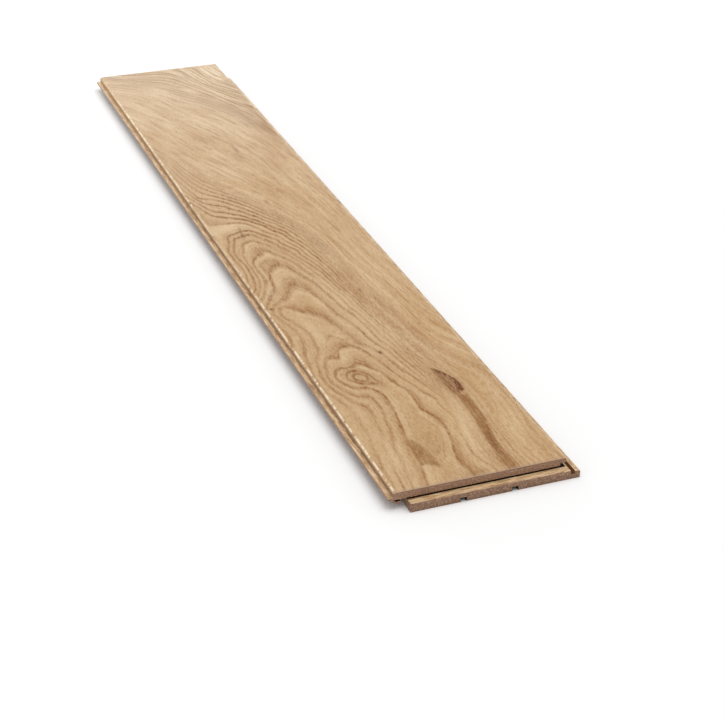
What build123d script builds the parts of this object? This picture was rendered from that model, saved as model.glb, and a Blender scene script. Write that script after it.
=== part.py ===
from build123d import *
import os

# Oak floorboard: an oak face glued on a fibreboard core whose four edges carry a click-lock.
# X runs along the board towards the end with the ledge, Y across it towards the grooved side,
# and Z up from the underside. The origin lies under the middle of the oak face.

# Oak face, which is what one board covers in a laid floor
face_length = 825.0
face_width = 125.0
board_thickness = 14.0
oak_thickness = 1.5

# Bevels round the oak face
long_bevel = 1.2
end_bevel = 0.8

# Height of the lower lip, on which both the long tongue and the far end rest
lower_lip_height = 6.5

# Long edges: a tongue with a heel on one side, a groove and a hooked strip on the other
tongue_reach = 3.6
tongue_thickness = 2.8
tongue_round = 0.8
lower_lip_reach = 0.9
strip_thickness = 3.6
strip_reach = 8.0
hook_foot = 2.6
hook_lean = 1.8
hook_height = 5.6
hook_round = 0.8

# Short ends: a slot over a ledge with a locking ridge on one, a thin tongue over a rebate on the other
slot_height = 1.4
slot_depth = 4.5
ledge_reach = 6.2
ridge_foot = 3.8
ridge_lean = 0.5
ridge_height = 0.8
ridge_bevel = 0.6
end_tongue_reach = 2.5
end_tongue_round = 0.4

# Clearances in the closed lock
tongue_play = 0.3
nose_play = 0.5
lock_play = 0.2
heel_play = 1.0
lock_headroom = 2.0
strip_room = 1.7
end_tongue_play = 0.15
ridge_headroom = 0.3
ledge_room = 1.2

# Guide grooves along the underside, measured from the tongue side's joint face
guide_grooves = (47.5, 85.0)
guide_groove_width = 4.4
guide_groove_depth = 3.2

# The hooked strip stops short of the far end, and the ridge short of the grooved side
strip_cut_back = 25.0
ridge_cut_back = 5.0

# Joint faces, where two laid boards meet
tongue_side = -face_width / 2
groove_side = face_width / 2
far_end = -face_length / 2
near_end = face_length / 2

# Heights of the long edges, with each tongue and heel set by the lip and strip that it lies on
core_top = board_thickness - oak_thickness
tongue_bottom = lower_lip_height + tongue_play
tongue_top = tongue_bottom + tongue_thickness
groove_ceiling = tongue_top + tongue_play
heel_bottom = strip_thickness + heel_play
lock_ceiling = hook_height + lock_headroom

# The heel's inner wall runs parallel to the hook's inner face
hook_slope = hook_lean / (hook_height - strip_thickness)
heel_toe = hook_foot - lock_play + hook_slope * (heel_bottom - strip_thickness)
heel_root = hook_foot - lock_play + hook_slope * (lock_ceiling - strip_thickness)

# Places across the board where the long edges' cuts end
heel_face = tongue_side + lower_lip_reach + tongue_play
underside_edge = tongue_side + strip_reach + strip_room
groove_bottom = groove_side - tongue_reach - nose_play

# Heights of the short ends, with the far end set by the ledge that it lies on
slot_ceiling = lower_lip_height + slot_height
ridge_top = lower_lip_height + ridge_height
end_tongue_bottom = lower_lip_height + end_tongue_play
end_tongue_top = slot_ceiling - end_tongue_play
ridge_groove_ceiling = ridge_top + ridge_headroom
rebate_wall = far_end + ledge_reach + ledge_room


# Fibreboard core: the long edges' section, cut to the short ends' section
with BuildPart() as core:
    with BuildSketch(Plane.YZ) as long_section:
        with BuildLine():
            Polyline(
                (tongue_side, core_top),
                (tongue_side, tongue_top),
                (tongue_side - tongue_reach, tongue_top),
                (tongue_side - tongue_reach, tongue_bottom),
                (heel_face, tongue_bottom),
                (heel_face, heel_bottom),
                (tongue_side + heel_toe, heel_bottom),
                (tongue_side + heel_root, lock_ceiling),
                (underside_edge, lock_ceiling),
                (underside_edge, 0),
                (groove_side + strip_reach, 0),
                (groove_side + strip_reach, hook_height),
                (groove_side + hook_foot + hook_lean, hook_height),
                (groove_side + hook_foot, strip_thickness),
                (groove_side + lower_lip_reach, strip_thickness),
                (groove_side + lower_lip_reach, lower_lip_height),
                (groove_bottom, lower_lip_height),
                (groove_bottom, groove_ceiling),
                (groove_side, groove_ceiling),
                (groove_side, core_top),
                close=True,
            )
        make_face()
        tongue_nose = long_section.vertices().group_by(Axis.X)[0]
        fillet(tongue_nose, tongue_round)
        hook_corner = long_section.vertices().group_by(Axis.X)[-1].sort_by(Axis.Y)[-1]
        fillet(hook_corner, hook_round)

        # Round-topped guide grooves
        crown_radius = guide_groove_width / 2
        crown_height = guide_groove_depth - crown_radius
        with Locations([(tongue_side + place, 0) for place in guide_grooves]):
            Rectangle(guide_groove_width, 2 * crown_height, mode=Mode.SUBTRACT)
        with Locations([(tongue_side + place, crown_height) for place in guide_grooves]):
            Circle(crown_radius, mode=Mode.SUBTRACT)
    extrude(amount=face_length / 2 + ledge_reach + end_tongue_reach, both=True)

    with BuildSketch(Plane.XZ) as end_section:
        with BuildLine():
            Polyline(
                (far_end, core_top),
                (far_end, end_tongue_top),
                (far_end - end_tongue_reach, end_tongue_top),
                (far_end - end_tongue_reach, end_tongue_bottom),
                (far_end + ridge_foot - lock_play, end_tongue_bottom),
                (far_end + ridge_foot + ridge_lean - lock_play, ridge_groove_ceiling),
                (rebate_wall, ridge_groove_ceiling),
                (rebate_wall, 0),
                (near_end + ledge_reach, 0),
                (near_end + ledge_reach, ridge_top),
                (near_end + ridge_foot + ridge_lean, ridge_top),
                (near_end + ridge_foot, lower_lip_height),
                (near_end - slot_depth, lower_lip_height),
                (near_end - slot_depth, slot_ceiling),
                (near_end, slot_ceiling),
                (near_end, core_top),
                close=True,
            )
        make_face()
        end_tongue_nose = end_section.vertices().group_by(Axis.X)[0]
        fillet(end_tongue_nose, end_tongue_round)
        ridge_corner = end_section.vertices().group_by(Axis.X)[-1].sort_by(Axis.Y)[-1]
        chamfer(ridge_corner, ridge_bevel)
    extrude(amount=face_width / 2 + strip_reach + tongue_reach, both=True, mode=Mode.INTERSECT)

    # The ledge starts where the underside does, clear of the tongue and its heel,
    # and the hooked strip is cut away at the far corner
    with BuildSketch(Plane.XY):
        with Locations((near_end, underside_edge)):
            Rectangle(
                ledge_reach,
                underside_edge - tongue_side + tongue_reach,
                align=(Align.MIN, Align.MAX),
            )
        with Locations((far_end + strip_cut_back, groove_side)):
            Rectangle(
                strip_cut_back + end_tongue_reach,
                strip_reach,
                align=(Align.MAX, Align.MIN),
            )
    extrude(amount=core_top, mode=Mode.SUBTRACT)

    # The ridge ends before the ledge does
    with BuildSketch(Plane.XY.offset(lower_lip_height)):
        with Locations((near_end, groove_side + lower_lip_reach)):
            Rectangle(ledge_reach, ridge_cut_back, align=(Align.MIN, Align.MAX))
    extrude(amount=ridge_height, mode=Mode.SUBTRACT)

core.part.label = "fibreboard_core"


# Oak face: a sheet of oak with a bevel along each upper edge
with BuildPart() as oak:
    with BuildSketch(Plane.XY.offset(core_top)):
        Rectangle(face_length, face_width)
    extrude(amount=oak_thickness)
    long_edges = oak.faces().sort_by(Axis.Z)[-1].edges().filter_by(Axis.X)
    chamfer(long_edges, long_bevel)
    end_edges = oak.faces().sort_by(Axis.Z)[-1].edges().filter_by(Axis.Y)
    chamfer(end_edges, end_bevel)

oak.part.label = "oak_face"


os.makedirs("parts", exist_ok=True)
export_step(core.part, "parts/fibreboard_core.step")
export_step(oak.part, "parts/oak_face.step")
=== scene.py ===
import math
from functools import partial

import bpy
import numpy as np
from mathutils import Matrix, Vector


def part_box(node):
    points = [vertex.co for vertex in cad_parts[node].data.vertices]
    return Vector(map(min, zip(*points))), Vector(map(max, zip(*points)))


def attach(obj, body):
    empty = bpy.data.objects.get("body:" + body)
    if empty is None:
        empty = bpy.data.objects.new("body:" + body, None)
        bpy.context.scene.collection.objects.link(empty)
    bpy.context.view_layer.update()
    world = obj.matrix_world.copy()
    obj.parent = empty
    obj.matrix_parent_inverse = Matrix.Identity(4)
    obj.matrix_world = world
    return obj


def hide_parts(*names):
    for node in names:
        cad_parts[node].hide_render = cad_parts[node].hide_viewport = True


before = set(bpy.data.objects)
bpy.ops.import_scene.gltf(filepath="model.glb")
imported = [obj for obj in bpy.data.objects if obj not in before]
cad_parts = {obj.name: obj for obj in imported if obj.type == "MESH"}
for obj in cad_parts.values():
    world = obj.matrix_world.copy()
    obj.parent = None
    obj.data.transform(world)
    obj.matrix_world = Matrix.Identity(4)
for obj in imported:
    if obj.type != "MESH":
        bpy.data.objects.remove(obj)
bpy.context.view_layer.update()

# Oak floorboard: a lacquered oak face on a milled fibreboard core.
# X runs along the board towards the end with the ledge, Y across it towards the grooved side, Z up.
# Places and sizes on the board are in millimetres, and meshes are in metres.

MM = 0.001


# Figure of the oak

# Growth rings as they come out at the face. Each line holds one ring's number and the places it passes
# through, in mm from the middle of the face: along the board, then across it. The numbers rise towards
# the heart of the log, which lies nearest to the face at the knot.
RING_LINES = [
    # Knot
    (12.4, [(264.5, -30)]),
    (12.0, [(270, -26.5), (269.5, -31), (265, -34), (260.5, -33.5), (259.5, -30), (261.5, -27),
            (265.5, -25.5)]),
    (11.0, [(276.5, -21), (275, -26), (272.5, -31), (269, -35.5), (264.5, -38), (258, -37.5),
            (255, -34.5), (254.5, -30), (258, -26.5), (262, -23.5), (268.5, -22)]),
    # Ring that wraps the knot, with the plain heartwood behind it
    (10.0, [(411, -37.5), (388, -32.5), (366, -30.5), (346, -28), (320, -24), (306, -22.5), (292, -23),
            (281, -29), (278, -37.5), (268, -44), (261, -46), (254.5, -45), (249.5, -42), (248, -37.5),
            (249.5, -32.5), (245, -26), (247, -21.5), (255, -17.5), (263, -13), (279, -10), (292, -5),
            (310, -5), (320, -5.5), (327, -3), (334, -0.5), (353, 0.5), (374, -4), (390, -7),
            (411, -5)]),
    (10.6, [(318, -17), (345, -20), (372, -23), (410, -28), (318, -11), (345, -7), (372, -10),
            (410, -11)]),
    (10.65, [(345, -13), (385, -17)]),
    # Arches, from the knot towards the far end
    (9.0, [(411, -48), (388, -44.5), (358, -41), (346, -37), (327, -34), (300, -31.5), (290, -33),
           (290, -38), (287, -42.5), (278, -47), (262, -51.5), (249, -50), (237, -46.5), (230.5, -43.5),
           (230.5, -40), (233, -36.5), (232.5, -34.5), (226, -32), (221, -30), (218, -26.5),
           (217.5, -23), (218.5, -18.5), (222, -16), (226.5, -14.5), (231, -12.5), (242.5, -9.5),
           (260, -6), (279, -1.5), (299, 4), (318, 9), (328, 10), (354, 6.5), (388, 5), (402, 9),
           (411, 11)]),
    (8.0, [(411, -54), (368, -49), (341, -43), (316, -39.5), (304, -40), (301, -43), (285, -50.5),
           (265, -55.5), (243, -53), (221, -46.5), (201, -43), (190, -42), (175, -46), (160, -51),
           (150, -52.5), (143, -50), (142, -45), (147, -41), (154, -35), (162, -27), (172, -21.5),
           (195, -17), (215, -12), (234, -4), (256, 1), (276, 6), (295, 11), (311, 15), (340, 16),
           (368, 13), (410, 16)]),
    (7.0, [(411, -60), (351, -54), (325, -52), (300, -52.5), (285, -57), (260, -61), (221, -56.5),
           (208, -53), (190, -50), (174, -52.5), (160, -56), (147, -57.5), (136, -51.5), (131, -46),
           (129, -41.5), (122, -36.5), (113, -32), (107, -27), (113, -24), (127, -18.5), (147, -14.5),
           (173, -10.5), (203, -4), (234, 3)]),
    (6.0, [(133, -57.5), (118, -49), (111, -44.5), (91, -41), (78, -36.5), (72, -33.5), (69, -29.5),
           (72, -25), (84, -19), (96, -15), (113, -10), (145, -6), (171, -1), (212, 3)]),
    (5.0, [(119, -56), (107, -51), (91, -46), (76, -46), (62, -46), (53, -42.5), (47, -37.5), (43, -33),
           (41, -28), (49, -24), (57, -19.5), (72, -13.5), (97, -7.5), (120, -4), (160, 1), (212, 8)]),
    (4.0, [(102, -53), (80, -49.5), (60, -49.5), (45, -49), (33, -45.5), (24, -43.5), (20, -39.5),
           (18.5, -35.5), (24, -29), (30, -24.5), (47, -18), (56, -13.5), (75, -8), (95, -4), (140, 4),
           (212, 13), (300, 21), (340, 23), (380, 21), (410, 23)]),
    (3.0, [(105, -58), (87, -54), (62, -52.5), (51, -54), (40, -54.5), (24, -51), (11, -46.5), (7, -38),
           (6, -33), (9, -29), (18, -24.5), (38, -16), (60, -8), (95, 1), (140, 7.5), (212, 17)]),
    (2.0, [(91, -60), (71, -57), (42, -58), (29, -57.5), (17, -53), (7, -51.5), (1, -45), (-1, -40),
           (-2.5, -34), (5, -25.5), (22, -15), (48, -5), (95, 4), (140, 10), (212, 20)]),
    # Rings that run out over the tongue side
    (1.0, [(-28, -60), (-22, -50.5), (-21, -43.5), (-20.5, -37), (-16.5, -30), (-8, -24.5), (4, -19),
           (28, -8), (57, 0), (95, 7), (140, 12.5), (212, 22)]),
    (0.0, [(-60, -57), (-49, -54.5), (-41, -51), (-35.5, -44.5), (-32, -39), (-26.5, -30.5),
           (-19, -23.5), (-6.5, -15.5), (15, -5.5), (57, 4.5), (95, 10), (140, 15), (212, 24)]),
    (-1.0, [(-71, -56), (-61, -52.5), (-51, -49), (-46.5, -43.5), (-43, -38.5), (-36.5, -32),
            (-23, -21.5), (-10, -13.5), (0, -8.5), (20, -0.5), (45, 6.5), (95, 13)]),
    (-2.0, [(-90, -57), (-79, -54.5), (-71, -51.5), (-64.5, -46.5), (-60.5, -42), (-56, -36.5),
            (-50, -32), (-40, -24), (-25.5, -15.5), (-8, -5.5), (1, -1.5), (18, 4), (45, 10)]),
    (-3.0, [(-100, -55.5), (-83, -52.5), (-76, -45), (-72, -39.5), (-65.5, -33.5), (-54.5, -26.5),
            (-42, -19), (-25.5, -10.5), (0, 2.5), (20, 8.5)]),
    (-4.0, [(-178, -61), (-136, -56), (-111, -52), (-98, -49), (-90, -45.5), (-83, -40.5), (-72, -31),
            (-59, -22), (-45.5, -14.5), (-29, -7), (-12, 1), (1, 7), (33, 13.5), (62, 17), (133, 20),
            (212, 29), (235, 32), (260, 41), (276, 49), (300, 54), (340, 55), (410, 54)]),
    # Finer rings towards the far end and the grooved side
    (-12.0, [(-203, -44), (-161, -31), (-110, -12), (-60, 7), (0, 23), (60, 30), (130, 34), (200, 41),
             (230, 48), (250, 58)]),
    (-32.0, [(-362, -42), (-331, -21), (-301, -9), (-274, 7), (-242, 21), (-202, 31), (-140, 42),
             (-60, 50), (60, 56)]),
    (-40.0, [(-392, -52), (-367, -22), (-342, -3), (-309, 19), (-276, 35), (-240, 45), (-201, 51)]),
    (-46.0, [(-402, -46), (-392, -26), (-384, -7), (-376, 3), (-351, 17), (-317, 34), (-291, 44),
             (-259, 57)]),
    (-54.0, [(-410, 10), (-395, 18), (-370, 26), (-345, 36), (-310, 52)]),
    (-60.0, [(-407, 28), (-380, 33), (-351, 41), (-330, 52)]),
    (-66.0, [(-407, 44), (-362, 56)]),
]

# The sheet that is bent through these places: how many times stiffer it is along the grain, how far it
# gives at a place, and a trifle that keeps its logarithm finite
GRAIN_STRETCH = 1.6
RING_GIVE = 1.0
TINY = 1e-9

# Where the rings stand out clearly, by ring number, how faint they are elsewhere, and how they return
# close to the far end
CLEAR_RINGS = (-11.0, -4.2)
FAINT_RINGS = 0.55
FAR_RINGS = (-35.0, -46.0)
FAR_FAINT = 0.25

# A ring line is drawn out along the grain, and its distances stop growing where the rings lie far apart
LINE_STRETCH = 2.0
WIDEST_RING = 25.0

# Bold stretches of the figure: middle, half length, half width, turn in degrees, strength
BOLD_FIGURE = [
    ((-55, -36), 38, 13, 32, 0.75),
    ((5, -3), 60, 9, 24, 0.42),
    ((100, 8), 60, 6, 8, 0.3),
    ((5, -38), 30, 10, 0, 0.35),
    ((80, -38), 60, 14, 0, 0.35),
    ((110, -22), 45, 10, 8, 0.3),
    ((250, -30), 60, 18, 0, 0.38),
    ((264, -30), 9, 7, 0, 0.3),
    ((370, -12), 50, 24, 0, 0.4),
]

# Quiet stretches, where the lines fade
QUIET_FIGURE = [
    ((350, 46), 55, 9, -1, 0.9),
    ((290, 45), 20, 6, 20, 0.5),
    ((352, 7), 28, 4, 0, 0.5),
    ((345, 17), 38, 6, -3, 0.85),
    ((350, -48), 45, 9, 3, 0.4),
    ((185, -49), 28, 5, 4, 0.35),
]

# Stretches where the lines are broad and soft on both sides
SOFT_FIGURE = [
    ((85, -22), 25, 8, 15, 0.9),
    ((40, -27), 22, 10, 10, 0.45),
    ((115, -34), 18, 9, 0, 0.5),
    ((185, -48), 28, 6, 4, 0.8),
    ((165, -26), 22, 9, 15, 0.9),
    ((205, -16), 25, 6, 10, 0.7),
    ((330, -45), 50, 10, 3, 0.6),
]

# Pale patches: middle, half length, half width, turn in degrees, strength
PALE_PATCHES = [
    ((165, 2), 50, 9, 7, 0.45),
    ((195, 27), 60, 1.2, 6, 0.5),
    ((225, 20), 40, 1.0, 8, 0.5),
    ((250, 38), 30, 1.2, 22, 0.5),
    ((350, -50), 45, 7, 3, 0.3),
    ((-235, 17), 50, 0.9, 22, 0.6),
    ((-10, -46), 6, 10, 0, 0.5),
    ((70, 22), 60, 5, 8, 0.35),
    ((101, -37), 9, 4, -40, 0.45),
    ((185, -38), 22, 2.2, 6, 0.4),
    ((338, 20.5), 24, 2.6, -4, 0.5),
    ((352, 14), 26, 1.4, -6, 0.5),
]

# Brown patches: middle, half length, half width, turn in degrees, strength
BROWN_PATCHES = [
    ((372, -28.5), 10, 2.6, -2, 0.5),
    ((390, -23), 4, 2.0, 30, 0.25),
    ((330, -2.4), 6, 1.3, 22, 0.6),
    ((340, -0.4), 6, 1.5, 4, 0.6),
    ((218.5, -20.5), 3.5, 2.4, 40, 0.4),
    ((393, -7.2), 10, 1.4, 0, 0.6),
    ((409, 2), 2.2, 5.0, 0, 0.8),
    ((172, -21.8), 6, 1.4, 0, 0.6),
    ((171, -0.8), 3, 0.9, 0, 0.7),
    ((150, -29), 6, 3.0, 0, 0.45),
    ((37, -32), 4, 3.5, 0, 0.35),
    ((274, -24.5), 2.0, 3.0, 0, 0.5),
    ((247, -25), 1.6, 3.5, 0, 0.5),
    ((263.5, -30.5), 6, 5, 0, 0.3),
    ((213.5, -27), 4.5, 3.6, 0, 0.4),
    ((355, -18), 45, 9, 0, 0.1),
    ((300, 23.5), 14, 2.0, 4, 0.5),
    ((322, 30), 7, 2.0, 0, 0.45),
    ((343, 32.6), 9, 0.7, -2, 0.6),
    ((366, 26), 14, 2.2, -8, 0.35),
    ((-182, 12), 15, 1.6, 0, 0.6),
    ((-250, 46), 28, 6.0, 12, 0.6),
    ((-375, -32), 14, 7.0, 50, 0.4),
    ((-310, 16), 30, 6.0, 28, 0.45),
    ((255, -28), 28, 15, 0, 0.13),
    ((284, 27), 14, 6, 10, 0.3),
    ((405, -6), 12, 4, 0, 0.25),
    ((340, -31), 20, 2.5, -4, 0.2),
]

# Dark patches, in the same order
DARK_PATCHES = [
    ((276, 26.5), 5, 1.2, 26, 0.4),
    ((301, 33), 5, 1.6, 0, 0.25),
    ((378, 24), 12, 1.6, -6, 0.5),
]

# Streaks: strength, softness of the edges, then places along the streak with its two edges across the board
BROWN_STREAKS = [
    (0.75, 1.7, [(354, -28.6, -27.6), (360, -29.2, -25), (366, -30, -23.4), (375, -31.2, -21.5),
                 (384, -32.3, -20.8), (388, -32.9, -20.8), (391, -25, -20.8), (395, -22, -20.8)]),
    (0.9, 0.8, [(312, 25.8, 34.2), (327, 25.8, 33.3), (338, 25.4, 32.6), (349, 24.1, 31.8),
                (360, 22.6, 30), (373, 20.6, 27.8), (390, 20, 27), (413, 20.5, 27)]),
]
DARK_STREAKS = [
    (0.65, 0.7, [(270, 23.3, 24.4), (274, 23.4, 27.2), (279, 23.8, 30.3), (285, 24.2, 32.6),
                 (290, 24.3, 34.3), (298, 24.2, 35), (306, 24.4, 34.6), (311, 24.6, 28)]),
    (0.5, 0.7, [(270, 23.2, 24.8), (274, 25.2, 27.6), (279, 28.2, 30.5), (285, 30.8, 32.8),
                (290, 32.4, 34.5), (298, 30, 35), (306, 30.5, 34.5)]),
]

# Half the length over which a streak fades at its ends
STREAK_END = 3.0

# Pin knots and other small dark flecks, in the same order as the patches
PIN_KNOTS = [
    ((141.5, -57.5), 1.4, 1.1, 0, 1.0),
    ((234.4, -2.6), 1.5, 1.1, 0, 1.1),
    ((133.5, 19.5), 1.8, 1.0, 0, 0.7),
    ((-53.5, 2.5), 2.4, 1.1, 0, 0.6),
    ((6, -38), 4.0, 0.9, -8, 0.8),
    ((-6, -37), 4.5, 0.8, -8, 0.6),
    ((154, -35.5), 1.8, 1.0, 20, 0.6),
    ((216, -12), 1.6, 0.9, 0, 0.5),
    ((-176, 12.5), 4.0, 1.0, 4, 0.45),
]

# Where the pale bevel marks, partly bare wood and partly a painted highlight, are weaker along the tongue
# side, and how pale the other side's bevel is
LESS_PALE_BEVEL = [((20, -62), 75, 20, 0, 0.6), ((-410, -62), 60, 20, 0, 0.7)]
GROOVE_SIDE_BEVEL_PALENESS = 0.1


def smooth_step(low, high, value):
    """Rises from 0 at low to 1 at high along 3t² - 2t³."""
    t = np.clip((value - low) / (high - low), 0, 1)
    return t * t * (3 - 2 * t)


def spots(marks, along, across):
    """Sum of oval bells. Each is its strength times exp(-d²/2), with d the distance from its middle in half
    lengths and half widths."""
    total = np.zeros_like(along)
    for (x, y), half_length, half_width, turn, strength in marks:
        c, s = math.cos(math.radians(turn)), math.sin(math.radians(turn))
        u = ((along - x) * c + (across - y) * s) / half_length
        v = ((across - y) * c - (along - x) * s) / half_width
        total += strength * np.exp(-0.5 * (u * u + v * v))
    return total


def streaks(marks, along, across):
    """Sum of streaks. Each is full between its two edges, and falls off smoothly over the softness of its
    edges and over STREAK_END at its ends."""
    total = np.zeros_like(along)
    for strength, edge, stations in marks:
        places, lower, upper = np.array(stations, float).T
        above = across - np.interp(along, places, lower)
        below = np.interp(along, places, upper) - across
        inside = smooth_step(-edge, edge, above) * smooth_step(-edge, edge, below)
        from_ends = np.minimum(along - places[0], places[-1] - along)
        total += strength * inside * smooth_step(-STREAK_END, STREAK_END, from_ends)
    return total


def ring_bend(distance_squared):
    """Bending of a thin sheet round one pin: half of d² times log d², kept finite at the pin itself."""
    return 0.5 * distance_squared * np.log(distance_squared + TINY)


def ring_number(along, across):
    """Ring number at each place on the face: a thin sheet bent smoothly so that it passes every ring line at
    that line's number. The sheet is a tilted plane plus one weighted bend per place, and is stiffer along the
    grain."""
    pins = np.array([place for _, places in RING_LINES for place in places], float)
    pins[:, 0] /= GRAIN_STRETCH
    heights = np.array([number for number, places in RING_LINES for _ in places])
    count = len(pins)
    gaps = ((pins[:, None] - pins[None]) ** 2).sum(axis=2)
    system = np.zeros((count + 3, count + 3))
    system[:count, :count] = ring_bend(gaps) + RING_GIVE * np.eye(count)
    system[:count, count] = system[count, :count] = 1
    system[:count, count + 1:] = pins
    system[count + 1:, :count] = pins.T
    weights = np.linalg.solve(system, np.concatenate([heights, np.zeros(3)]))
    u = along / GRAIN_STRETCH
    total = weights[count] + weights[count + 1] * u + weights[count + 2] * across
    for (pin_u, pin_v), weight in zip(pins, weights):
        total += weight * ring_bend((u - pin_u) ** 2 + (across - pin_v) ** 2)
    return total


def oak_figure(x, y):
    """What each place of the face shows: its ring number, the gap between rings there, which is 1 over the
    slope of the ring number, how clearly or faintly the ring lines stand out, and how far each kind of patch
    covers it."""
    rings = ring_number(x, y)
    rise_along, rise_across = np.gradient(rings, x[:, 0], y[0])
    clear = smooth_step(*CLEAR_RINGS, rings) * (FAINT_RINGS + spots(BOLD_FIGURE, x, y))
    loud = (1 - spots(QUIET_FIGURE, x, y)).clip(0, 1)
    far = smooth_step(*FAR_RINGS, rings)
    return {
        "ring": rings,
        "ring_gap": 1 / np.hypot(LINE_STRETCH * rise_along, rise_across).clip(1 / WIDEST_RING),
        "clear": clear * loud + FAR_FAINT * far,
        "faint": (1 - clear).clip(0, 1) * loud,
        "far": far,
        "soft": spots(SOFT_FIGURE, x, y).clip(0, 1),
        "pale": spots(PALE_PATCHES, x, y),
        "brown": spots(BROWN_PATCHES, x, y) + streaks(BROWN_STREAKS, x, y),
        "dark": spots(DARK_PATCHES, x, y) + streaks(DARK_STREAKS, x, y),
        "pin": spots(PIN_KNOTS, x, y),
    }


# Oak face

# Steps of its grid, and how deep the early wood lies below the face and how far it reaches from a ring line
GRID_ALONG = 2.0
GRID_ACROSS = 0.8
PORE_RELIEF = 0.05
EARLY_WOOD = 1.5

# How near two heights or places have to be to count as one
NEARLY = 0.01

# In bevel widths: where the count up a bevel stops, and where end grain fades
PAST_THE_BEVEL = 1.5
END_GRAIN = (0.5, 1.2)


def face_stations(start, stop, bevel, step):
    """Grid places from start to stop: the two edges, and even steps between the bevels."""
    inner = np.linspace(start + bevel, stop - bevel, round((stop - start) / step) + 1)
    return np.concatenate([[start], inner, [stop]])


def oak_face():
    """The oak sheet as a height field: at each place of a grid the top is the lowest of the flat face and the
    slopes of the four bevels, and the early wood of each ring lies a hair lower. Walls and an underside close
    it. Each place keeps what it shows of the figure, for the finish."""
    low, high = (np.array(corner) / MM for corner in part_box("oak_face"))
    cad = np.array([v.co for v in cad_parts["oak_face"].data.vertices]) / MM
    flat = cad[cad[:, 2] > high[2] - NEARLY]
    end_bevel = high[0] - flat[:, 0].max()
    long_bevel = high[1] - flat[:, 1].max()

    xs = face_stations(low[0], high[0], end_bevel, GRID_ALONG)
    ys = face_stations(low[1], high[1], long_bevel, GRID_ACROSS)
    x, y = np.meshgrid(xs, ys, indexing="ij")
    from_end = np.minimum(x - low[0], high[0] - x)
    from_side = np.minimum(y - low[1], high[1] - y)
    marks = oak_figure(x, y)
    marks["up_the_bevel"] = np.minimum(from_side / long_bevel, PAST_THE_BEVEL)
    # Pale bevel dashes, partly bare wood and partly a painted highlight, strongest along the tongue side
    marks["bevel_bare_and_glint"] = np.where(y < 0, 1.0 - spots(LESS_PALE_BEVEL, x, y), GROOVE_SIDE_BEVEL_PALENESS)
    marks["end_grain"] = 1.0 - smooth_step(*END_GRAIN, from_end / end_bevel)

    from_line = -marks["ring"] % 1.0 * marks["ring_gap"]
    early_wood = np.exp(-from_line / EARLY_WOOD) * smooth_step(*CLEAR_RINGS, marks["ring"])
    on_flat = (from_end > end_bevel + NEARLY) & (from_side > long_bevel + NEARLY)
    z = np.minimum(high[2], high[2] - end_bevel + from_end)
    z = np.minimum(z, high[2] - long_bevel + from_side)
    z = z - PORE_RELIEF * early_wood * on_flat

    rows, columns = x.shape
    index = np.arange(rows * columns).reshape(rows, columns)
    quads = np.stack([index[:-1, :-1], index[1:, :-1], index[1:, 1:], index[:-1, 1:]], axis=-1)
    rim = np.concatenate([index[:-1, 0], index[-1, :-1], index[:0:-1, -1], index[0, :0:-1]])
    foot = rows * columns + np.arange(len(rim))
    walls = np.stack([rim, foot, np.roll(foot, -1), np.roll(rim, -1)], axis=-1)
    top = np.stack([x, y, z], axis=-1).reshape(-1, 3)
    bottom = top[rim] * [1, 1, 0] + [0, 0, low[2]]
    mesh = bpy.data.meshes.new("oak_sheet")
    faces = [*quads.reshape(-1, 4).tolist(), *walls.tolist(), foot[::-1].tolist()]
    mesh.from_pydata((np.concatenate([top, bottom]) * MM).tolist(), [], faces)
    for name, values in marks.items():
        values = values.reshape(-1)
        everywhere = np.concatenate([values, values[rim]]).astype(np.float32)
        mesh.attributes.new(name, "FLOAT", "POINT").data.foreach_set("value", everywhere)
    sheet = bpy.data.objects.new("oak_sheet", mesh)
    bpy.context.scene.collection.objects.link(sheet)
    return sheet


# Materials


def linear(hex_colour):
    """Linear RGBA of an sRGB hex colour: c/12.92 below 0.04045, else ((c + 0.055)/1.055) to the power 2.4."""
    srgb = np.array([int(hex_colour[i:i + 2], 16) for i in (1, 3, 5)]) / 255
    rgb = np.where(srgb <= 0.04045, srgb / 12.92, ((srgb + 0.055) / 1.055) ** 2.4)
    return (*rgb.tolist(), 1.0)


def add(tree, kind, inputs=(), output=0, stops=(), **settings):
    """Adds one node with its settings and returns one of its outputs. Inputs go to the sockets in turn, or by
    the keys of a dict. Each is a plain value or another node's output. A map range's are its value, the range
    that it is read over and what the ends of that range become. Stops fill a ramp, in rising order."""
    node = tree.nodes.new("ShaderNode" + kind)
    for name, value in settings.items():
        setattr(node, name, value)
    for key, value in inputs.items() if isinstance(inputs, dict) else enumerate(inputs):
        if isinstance(value, bpy.types.NodeSocket):
            tree.links.new(value, node.inputs[key])
        else:
            node.inputs[key].default_value = value
    for i, (place, colour) in enumerate(stops):
        steps = node.color_ramp.elements
        step = steps[i] if i < 2 else steps.new(place)
        step.position = place
        step.color = linear(colour)
    return node.outputs[output] if len(node.outputs) else node


def new_material(name):
    """An empty material, and its node tree."""
    material = bpy.data.materials.new(name)
    material.use_nodes = True
    material.node_tree.nodes.clear()
    return material, material.node_tree


def flecks(tree, along, across, up=1000.0, detail=2.0, roughness=0.5, shift=0.0):
    """Cloudy flecks of about these sizes in mm. The usual height is so great that a thin sheet shows no
    change through its thickness."""
    place = add(tree, "TexCoord", output="Object")
    sizes = [1 / (size * MM) for size in (along, across, up)]
    drawn_out = add(tree, "Mapping", {"Vector": place, "Location": (shift, shift, 0), "Scale": sizes})
    cloud = {"Vector": drawn_out, "Scale": 1.0, "Detail": detail, "Roughness": roughness}
    return add(tree, "TexNoise", cloud, output="Fac")


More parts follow.
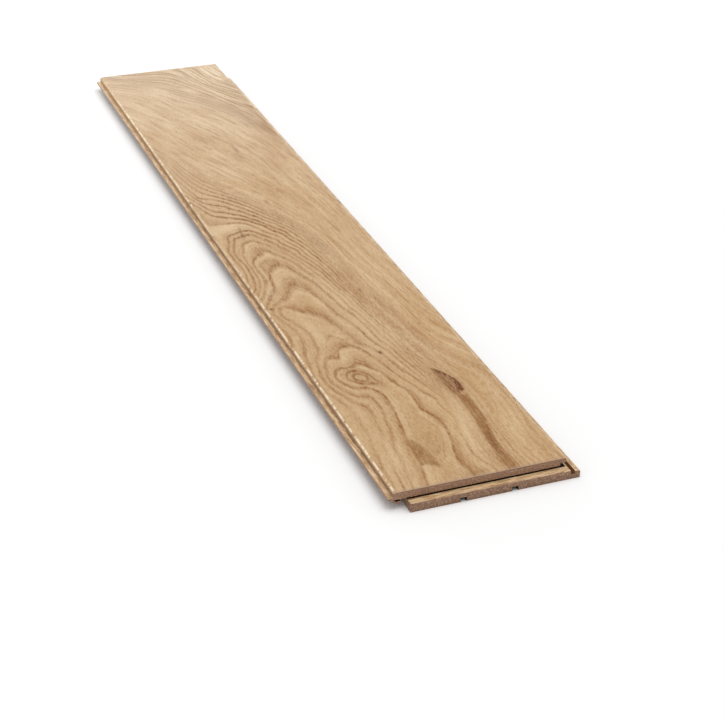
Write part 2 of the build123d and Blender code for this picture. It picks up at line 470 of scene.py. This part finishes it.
def paint(tree, ground, coats):
    """The colour of a ground under its coats. Each coat is a colour, and the shares whose product is how far
    it covers what lies under it. A plain number among them is the most that the coat covers. A Mix node takes
    its two colours at sockets 6 and 7."""
    colour = ground
    for coat, (cover, *shares) in coats:
        for share in shares:
            cover = add(tree, "Math", (cover, share), operation="MULTIPLY")
        colour = add(tree, "Mix", {0: cover, 6: colour, 7: coat}, output=2, data_type="RGBA")
    return colour


# What each place of the oak face keeps for its finish
FACE_MARKS = ("ring", "ring_gap", "clear", "faint", "far", "soft", "pale", "brown", "dark", "pin",
              "up_the_bevel", "bevel_bare_and_glint", "end_grain")

# A ring line: how far it wavers, its crisp side, that side where the line is soft, its other side and its
# tail of early wood
LINE_WAVER = 0.7
LINE_CRISP = 1.3
LINE_SOFT = 4.5
LINE_BACK = (0.8, 2.2)
EARLY_TAIL = 9.0

# Gaps between rings over which the tail and the pale side of a line grow to their full strength, and where
# the pale side fades
TAIL_GAPS = (4.0, 12.0)
PALE_GAPS = (4.0, 14.0)
PALE_SIDE = (1.5, 8.0)

# Flecks of the oak, in mm along and across the grain. Fibre and pores are drawn coarser than real ones, so
# that they show.
RAGGED_LINE = (9, 1.2)
BROKEN_TAIL = (12, 1.6)
LINE_PATCHES = (30, 5)
LINE_BREAKS = (4, 1.3)
TONE_CLOUDS = (90, 30)
LONG_FIBRE = (7, 0.9)
SHORT_FIBRE = (2.5, 1.3)
PORES = (5, 0.8)
# Dashes of the pale bevel marks, partly bare wood and partly a painted highlight
BEVEL_DASHES = (5, 40)

# Streaks that follow the rings: length in mm, and about how many to a ring
FINE_LINES = (45, 5.0)
FAINT_LINES = (28, 0.9)
BROAD_STREAKS = (100, 0.3)
NARROW_STREAKS = (35, 1.2)
FAR_STREAKS = (60, 0.95)

# Satin lacquer over oak, with its relief in mm
OAK_GLOSS = {"Roughness": 0.25, "IOR": 1.5, "Specular IOR Level": 0.07}
OAK_RELIEF = 0.08


def lacquered_oak():
    """Oak under a satin lacquer: warm tan with brown ring lines, short dark pores along the grain and a soft
    gloss."""
    material, tree = new_material("satin_lacquered_oak")
    node = partial(add, tree)
    mark = {name: node("Attribute", output="Fac", attribute_name=name) for name in FACE_MARKS}
    ring, gap, clear, soft = (mark[name] for name in ("ring", "ring_gap", "clear", "soft"))
    down_the_board = node("SeparateXYZ", (node("TexCoord", output="Object"),), output="X")

    def ring_streaks(length, per_ring, detail=2.0):
        """Streaks of this length in mm that follow the rings, about so many to a ring."""
        lengthwise = node("Math", (down_the_board, 1 / (length * MM)), operation="MULTIPLY")
        ringwise = node("Math", (ring, per_ring), operation="MULTIPLY")
        followed = node("CombineXYZ", (lengthwise, ringwise))
        cloud = {"Vector": followed, "Scale": 1.0, "Detail": detail, "Roughness": 0.6}
        return node("TexNoise", cloud, output="Fac")

    # Distances in mm from the ring line on either side, with a waver along the line
    ragged = flecks(tree, *RAGGED_LINE, detail=3.0, roughness=0.6)
    ragged = node("MapRange", (ragged, 0.25, 0.75, -LINE_WAVER, LINE_WAVER))
    in_rings = node("Math", (ragged, gap), operation="DIVIDE")
    wavering = node("Math", (ring, in_rings), operation="ADD")
    past_line = node("Math", (wavering,), operation="FRACT")
    to_next = node("Math", (1.0, past_line), operation="SUBTRACT")
    heartwards = node("Math", (past_line, gap), operation="MULTIPLY")
    barkwards = node("Math", (to_next, gap), operation="MULTIPLY")

    # The line's crisp side, towards the heart
    crisp_reach = node("MapRange", (soft, 0.0, 1.0, LINE_CRISP, LINE_SOFT))
    crisp_side = node("MapRange", (heartwards, 0.0, crisp_reach, 1.0, 0.0))
    crisp_depth = node("MapRange", (soft, 0.0, 1.0, 1.0, 0.85))
    crisp_side = node("Math", (crisp_side, crisp_depth), operation="MULTIPLY")

    # Its other side, with a soft tail of early wood where the rings lie far apart
    near_side = node("MapRange", (barkwards, *LINE_BACK, 1.0, 0.0))
    near_depth = node("MapRange", (soft, 0.0, 1.0, 1.0, 0.75))
    near_side = node("Math", (near_side, near_depth), operation="MULTIPLY")
    tail = node("MapRange", (barkwards, 0.0, EARLY_TAIL, 1.0, 0.0))
    tail = node("Math", (tail, 1.5), operation="POWER")
    open_rings = node("MapRange", (gap, *TAIL_GAPS, 0.1, 1.0))
    broken = node("MapRange", (flecks(tree, *BROKEN_TAIL, shift=11.0), 0.35, 0.65, 0.6, 1.15))
    for share in (open_rings, broken):
        tail = node("Math", (tail, share), operation="MULTIPLY")
    soft_side = node("Math", (near_side, tail), operation="MAXIMUM")

    # Each ring has a strength of its own, finer lines run between the rings, and all of them are patchy
    this_ring = node("Math", (wavering,), operation="ROUND")
    own_strength = node("TexWhiteNoise", {"W": this_ring}, noise_dimensions="1D")
    own_strength = node("MapRange", (own_strength, 0.0, 1.0, 0.65, 1.1))
    main_lines = node("Math", (crisp_side, soft_side), operation="MAXIMUM")
    fine_lines = node("MapRange", (ring_streaks(*FINE_LINES), 0.54, 0.70, 0.0, 0.35))
    lines = node("Math", (main_lines, own_strength, fine_lines), operation="MULTIPLY_ADD")
    patches = node("MapRange", (flecks(tree, *LINE_PATCHES), 0.3, 0.6, 0.5, 1.05))
    breaks = node("MapRange", (flecks(tree, *LINE_BREAKS, shift=7.0), 0.35, 0.65, 0.55, 1.2))
    for share in (clear, patches, breaks):
        lines = node("Math", (lines, share), operation="MULTIPLY")
    faint_lines = node("MapRange", (ring_streaks(*FAINT_LINES, detail=3.0), 0.5, 0.64, 0.0, 0.33))
    lines = node("Math", (faint_lines, mark["faint"], lines), operation="MULTIPLY_ADD")

    # Late wood is paler just past a clear line
    pale_side = node("MapRange", (heartwards, *PALE_SIDE, 1.0, 0.0))
    wide_rings = node("MapRange", (gap, *PALE_GAPS, 0.25, 1.0))
    pale_side = node("Math", (pale_side, wide_rings), operation="MULTIPLY")
    pale_side = node("Math", (pale_side, clear), operation="MULTIPLY", use_clamp=True)

    # Slow changes of tone, less where the lines are clear, and straight fibre
    tone = 0.0
    clouds = [
        (ring_streaks(*BROAD_STREAKS), 0.45),
        (ring_streaks(*NARROW_STREAKS), 0.25),
        (flecks(tree, *TONE_CLOUDS), 0.3),
    ]
    for pattern, share in clouds:
        tone = node("Math", (pattern, share, tone), operation="MULTIPLY_ADD")
    tone = node("MapRange", (tone, 0.38, 0.62, -0.45, 0.55))
    evened = node("MapRange", (clear, 0.0, 0.6, 1.0, 0.5))
    tone = node("Math", (tone, evened, 0.45), operation="MULTIPLY_ADD")
    fibre = 0.0
    threads = [
        (flecks(tree, *LONG_FIBRE, detail=3.0, roughness=0.6), 0.65),
        (flecks(tree, *SHORT_FIBRE, shift=5.0), 0.35),
    ]
    for pattern, share in threads:
        fibre = node("Math", (pattern, share, fibre), operation="MULTIPLY_ADD")
    far_streaks = ring_streaks(*FAR_STREAKS)
    ragged_edge = node("MapRange", (fibre, 0.35, 0.6, 0.6, 1.1))
    torn_edge = node("MapRange", (fibre, 0.4, 0.58, 0.35, 1.25))

    # Pores: short dark dashes, thickest in the ring lines
    dashes = node("MapRange", (flecks(tree, *PORES, detail=1.0, shift=3.0), 0.57, 0.68, 0.0, 1.0))
    in_lines = node("Math", (lines, 0.6, 0.3), operation="MULTIPLY_ADD")
    pores = node("Math", (dashes, in_lines), operation="MULTIPLY")

    # Bevels, paler in broken dashes, partly bare wood and partly a painted highlight, and the end walls
    bevel_foot = node("MapRange", (mark["up_the_bevel"], 0.15, 0.45, 0.0, 1.0))
    bevel_crest = node("MapRange", (mark["up_the_bevel"], 1.0, 1.3, 1.0, 0.0))
    bevel_dashes = node("MapRange", (flecks(tree, *BEVEL_DASHES, detail=4.0, roughness=0.65), 0.43, 0.52, 0.05, 0.85))
    upward = node("SeparateXYZ", (node("TexCoord", output="Normal"),), output="Z")
    upright = node("MapRange", (upward, 0.1, 0.5, 1.0, 0.0))

    colour = paint(tree, linear("#D6B78F"), [
        # Tone and fibre
        (linear("#BA9161"), [tone]),
        (linear("#8A5A24"), [node("MapRange", (fibre, 0.52, 0.68, 0.0, 0.32))]),
        (linear("#ECD2AE"), [node("MapRange", (fibre, 0.33, 0.48, 0.42, 0.0))]),
        (linear("#EED6AC"), [pale_side, 0.3]),
        # Fine pale and brown lines close to the far end
        (linear("#FFF0CC"), [node("MapRange", (far_streaks, 0.55, 0.66, 0.0, 0.45)), mark["far"]]),
        (linear("#94681A"), [node("MapRange", (far_streaks, 0.34, 0.49, 0.95, 0.0)), mark["far"]]),
        # Ring lines, patches, pin knots and pores
        (linear("#8A5216"), [lines, 0.9]),
        (linear("#F0D9B2"), [mark["pale"], ragged_edge, 0.5]),
        (linear("#875622"), [mark["brown"], ragged_edge, 0.65]),
        (linear("#6E3A14"), [mark["dark"], torn_edge, 0.9]),
        (linear("#6A3000"), [mark["pin"], ragged_edge]),
        (linear("#80500F"), [pores, 0.9]),
        # Pale dashes along the bevels, partly bare wood and partly a painted highlight, and end grain
        (linear("#FAE8CA"), [bevel_foot, bevel_crest, mark["bevel_bare_and_glint"], bevel_dashes]),
        (linear("#B49A85"), [mark["end_grain"], 0.85]),
        (linear("#8C6C56"), [upright, mark["end_grain"]]),
    ])

    depth = node("Math", (fibre, 0.3), operation="MULTIPLY")
    depth = node("Math", (depth, pores), operation="SUBTRACT")
    relief = node("Bump", {"Height": depth, "Distance": OAK_RELIEF * MM, "Strength": 0.5})
    surface = node("BsdfPrincipled", {"Base Color": colour, "Normal": relief, **OAK_GLOSS})
    node("OutputMaterial", {"Surface": surface})
    return material


# Joint faces of the near end and the grooved side, which lie under the edges of the oak face
NEAR_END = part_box("oak_face")[1][0] / MM
GROOVE_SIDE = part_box("oak_face")[1][1] / MM

# Narrow cuts in the fibreboard, painted dark as shade in these recesses: the end slot, the channel behind the
# hook and the two guide grooves. Each is bounded in mm along the board (X), across it (Y) or in height (Z).
SHADED_NARROW_CUTS = [
    ("#241710", {
        "X": (NEAR_END - 4.6, NEAR_END - 0.05),
        "Y": (-GROOVE_SIDE + 0.1, GROOVE_SIDE - 0.1),
        "Z": (6.45, 7.95),
    }),
    ("#6A4428", {"Y": (GROOVE_SIDE + 0.8, GROOVE_SIDE + 4.3), "Z": (3.5, 5.5)}),
    ("#1A100A", {"Y": (-17.3, -12.7), "Z": (0.05, 3.3)}),
    ("#1A100A", {"Y": (20.2, 24.8), "Z": (0.05, 3.3)}),
]

# Height up to which the core is painted darker, as shade towards its lower face, sizes of its specks and
# clumps of fibre, and the length and width of the cutter's streaks. Specks are drawn coarser than real fibre,
# so that they show.
LOWER_SHADE_HEIGHT = 8.5
SPECK = 1.1
CLUMP = 9.0
CUTTER_STREAK = (9.0, 0.9)

# Bare milled fibreboard, with its roughness outside and inside the narrow cuts and its relief in mm
FIBREBOARD_GLOSS = {"IOR": 1.45, "Specular IOR Level": 0.18}
MILLED_ROUGHNESS = 0.4
NARROW_CUT_ROUGHNESS = 1.0
FIBREBOARD_RELIEF = 0.15


def milled_fibreboard():
    """Raw high-density fibreboard, cut with a moulding cutter: brown, matt, with pale and dark specks of
    fibre. Faces cut along the sheet come out paler and warmer than faces cut through it, with fine cutter
    streaks. Painted shade darkens it towards its lower face and inside its narrow cuts."""
    material, tree = new_material("milled_fibreboard")
    node = partial(add, tree)
    fleck = partial(flecks, tree, roughness=0.6)
    place = node("TexCoord", output="Object")
    specks = fleck(SPECK, SPECK, SPECK)
    clumps = fleck(CLUMP, CLUMP, CLUMP)
    cut_through = node("ValToRGB", (specks,), stops=[
        (0.28, "#6E4F3C"), (0.42, "#92705A"), (0.58, "#A5826A"), (0.74, "#D2B59C")])

    # The cutter runs along the sides, and across the board at its near end
    length, width = CUTTER_STREAK
    down_the_board = node("SeparateXYZ", (place,), output="X")
    on_the_ledge = node("Math", (down_the_board, NEAR_END * MM), operation="GREATER_THAN")
    cutter = node("Mix", {0: on_the_ledge, 2: fleck(length, width, width), 3: fleck(width, length, width)})
    cut_along = node("ValToRGB", (cutter,), stops=[(0.33, "#A67E55"), (0.47, "#CEAA7E"), (0.67, "#EDD3AC")])

    # Painted shade: the sheet is darker towards its lower face
    height = node("SeparateXYZ", (place,), output="Z")
    upward = node("SeparateXYZ", (node("TexCoord", output="Normal"),), output="Z")
    colour = paint(tree, cut_through, [
        (linear("#38220E"), [node("MapRange", (height, 0.0, LOWER_SHADE_HEIGHT * MM, 0.4, 0.0))]),
        (cut_along, [node("MapRange", (upward, 0.4, 0.9, 0.0, 1.0))]),
        (linear("#7E604C"), [node("MapRange", (clumps, 0.45, 0.75, 0.0, 0.3))]),
    ])

    # Painted shade: each narrow cut is coloured dark, and made fully rough so that it reflects less
    roughness = MILLED_ROUGHNESS
    for painted_shade, bounds in SHADED_NARROW_CUTS:
        inside = 1.0
        for axis, (low, high) in bounds.items():
            level = node("SeparateXYZ", (place,), output=axis)
            middle_and_half = ((low + high) / 2 * MM, (high - low) / 2 * MM)
            within = node("Math", (level, *middle_and_half), operation="COMPARE")
            inside = node("Math", (inside, within), operation="MULTIPLY")
        colour = paint(tree, colour, [(linear(painted_shade), [inside])])
        roughness = node("MapRange", (inside, 0.0, 1.0, roughness, NARROW_CUT_ROUGHNESS))

    relief = node("Bump", {"Height": specks, "Distance": FIBREBOARD_RELIEF * MM, "Strength": 0.6})
    surface = node("BsdfPrincipled", {
        "Base Color": colour, "Roughness": roughness, "Normal": relief, **FIBREBOARD_GLOSS})
    node("OutputMaterial", {"Surface": surface})
    return material


# Pieces of the board

sheet = oak_face()
sheet.data.materials.append(lacquered_oak())
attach(sheet, "root")
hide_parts("oak_face")

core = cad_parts["fibreboard_core"]
core.data.materials.clear()
core.data.materials.append(milled_fibreboard())
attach(core, "root")


# Floor, light and camera

# Half the floor's side in metres, its colour, and how brightly the sky lights the board
FLOOR_HALF = 6.0
FLOOR_WHITE = "#FEFEFE"
SKY_LIGHT = 0.65


def white_floor():
    """A flat square under the board. What the camera sees of it is its lit white plus what that lacks of full
    white."""
    corners = FLOOR_HALF * np.array([(-1, -1, 0), (1, -1, 0), (1, 1, 0), (-1, 1, 0)], float)
    mesh = bpy.data.meshes.new("floor")
    mesh.from_pydata(corners.tolist(), [], [(0, 1, 2, 3)])
    material, tree = new_material("white_floor")
    lit = linear(FLOOR_WHITE)
    lacking = (*(1.0 - part for part in lit[:3]), 1.0)
    seen = add(tree, "LightPath", output="Is Camera Ray")
    matt = add(tree, "BsdfDiffuse", {"Color": lit})
    glow = add(tree, "Emission", {"Color": lacking, "Strength": seen})
    add(tree, "OutputMaterial", {"Surface": add(tree, "AddShader", (matt, glow))})
    mesh.materials.append(material)
    floor = bpy.data.objects.new("floor", mesh)
    bpy.context.scene.collection.objects.link(floor)


def white_sky():
    """White all round where the camera or a reflection looks, and an even soft light on the board."""
    world = bpy.data.worlds.new("studio")
    world.use_nodes = True
    tree = world.node_tree
    tree.nodes.clear()
    seen = 0.0
    for ray in ("Is Camera Ray", "Is Glossy Ray", "Is Transmission Ray"):
        seen = add(tree, "Math", (seen, add(tree, "LightPath", output=ray)), operation="MAXIMUM")
    level = add(tree, "MapRange", (seen, 0.0, 1.0, SKY_LIGHT, 1.0))
    sky = add(tree, "Background", {"Color": linear("#FFFFFF"), "Strength": level})
    add(tree, "OutputWorld", {"Surface": sky})
    bpy.context.scene.world = world


# Lamps: name, kind, place and aim in metres, and settings. The low softboxes are a little cooler than the
# key light. One mirrors in the lacquer towards the far end, and one lights the tongue side there.
COOL_WHITE = "#F1FFFF"
SOFTBOX = {"shape": "RECTANGLE", "size_y": 0.15, "color": linear(COOL_WHITE)[:3]}
LAMPS = [
    ("key_light", "SUN", (0.15, 0.3, 1.6), (0, 0, 0), {"energy": 1.13, "angle": math.radians(55)}),
    ("back_softbox", "AREA", (-1.1, 0.17, 0.26), (-0.4, 0, 0), {"energy": 1.1, "size": 0.7, **SOFTBOX}),
    ("side_softbox", "AREA", (-0.8, -0.6, 0.1), (-0.4, -0.06, 0.01), {"energy": 2.4, "size": 0.4, **SOFTBOX}),
]


def studio_lamps():
    """Each lamp stands at its place and faces its aim."""
    for name, kind, place, aim, settings in LAMPS:
        light = bpy.data.lights.new(name, kind)
        for setting, value in settings.items():
            setattr(light, setting, value)
        holder = bpy.data.objects.new(name, light)
        holder.location = place
        holder.rotation_euler = (Vector(aim) - Vector(place)).to_track_quat("-Z", "Y").to_euler()
        bpy.context.scene.collection.objects.link(holder)


# Camera, fitted to the corners of the board: place in metres, turns in degrees, focal length and width of the
# photo in pixels, and width of the sensor in mm
CAMERA_PLACE = (1.2809, -0.4181, 0.6401)
CAMERA_DOWN = 29.406
CAMERA_TURN = 20.974
CAMERA_ROLL = -0.442
FOCAL_PX = 1729.9
PHOTO_PX = 724
SENSOR_WIDTH = 36.0


def photo_camera():
    """Looks back along the board, turned from -X towards +Y, tipped down and rolled a little."""
    turn, down, roll = (math.radians(angle) for angle in (CAMERA_TURN, CAMERA_DOWN, CAMERA_ROLL))
    level = Vector((-math.cos(turn), math.sin(turn), 0))
    ahead = math.cos(down) * level - math.sin(down) * Vector((0, 0, 1))
    right = Vector((math.sin(turn), math.cos(turn), 0))
    below = ahead.cross(right)
    x_axis = math.cos(roll) * right + math.sin(roll) * below
    y_axis = math.sin(roll) * right - math.cos(roll) * below
    data = bpy.data.cameras.new("camera")
    data.sensor_width = SENSOR_WIDTH
    data.lens = SENSOR_WIDTH * FOCAL_PX / PHOTO_PX
    camera = bpy.data.objects.new("camera", data)
    axes = Matrix((x_axis, y_axis, -ahead)).transposed().to_4x4()
    camera.matrix_world = Matrix.Translation(CAMERA_PLACE) @ axes
    bpy.context.scene.collection.objects.link(camera)
    bpy.context.scene.camera = camera


white_floor()
white_sky()
studio_lamps()
photo_camera()
bpy.context.scene.view_settings.view_transform = "Standard"
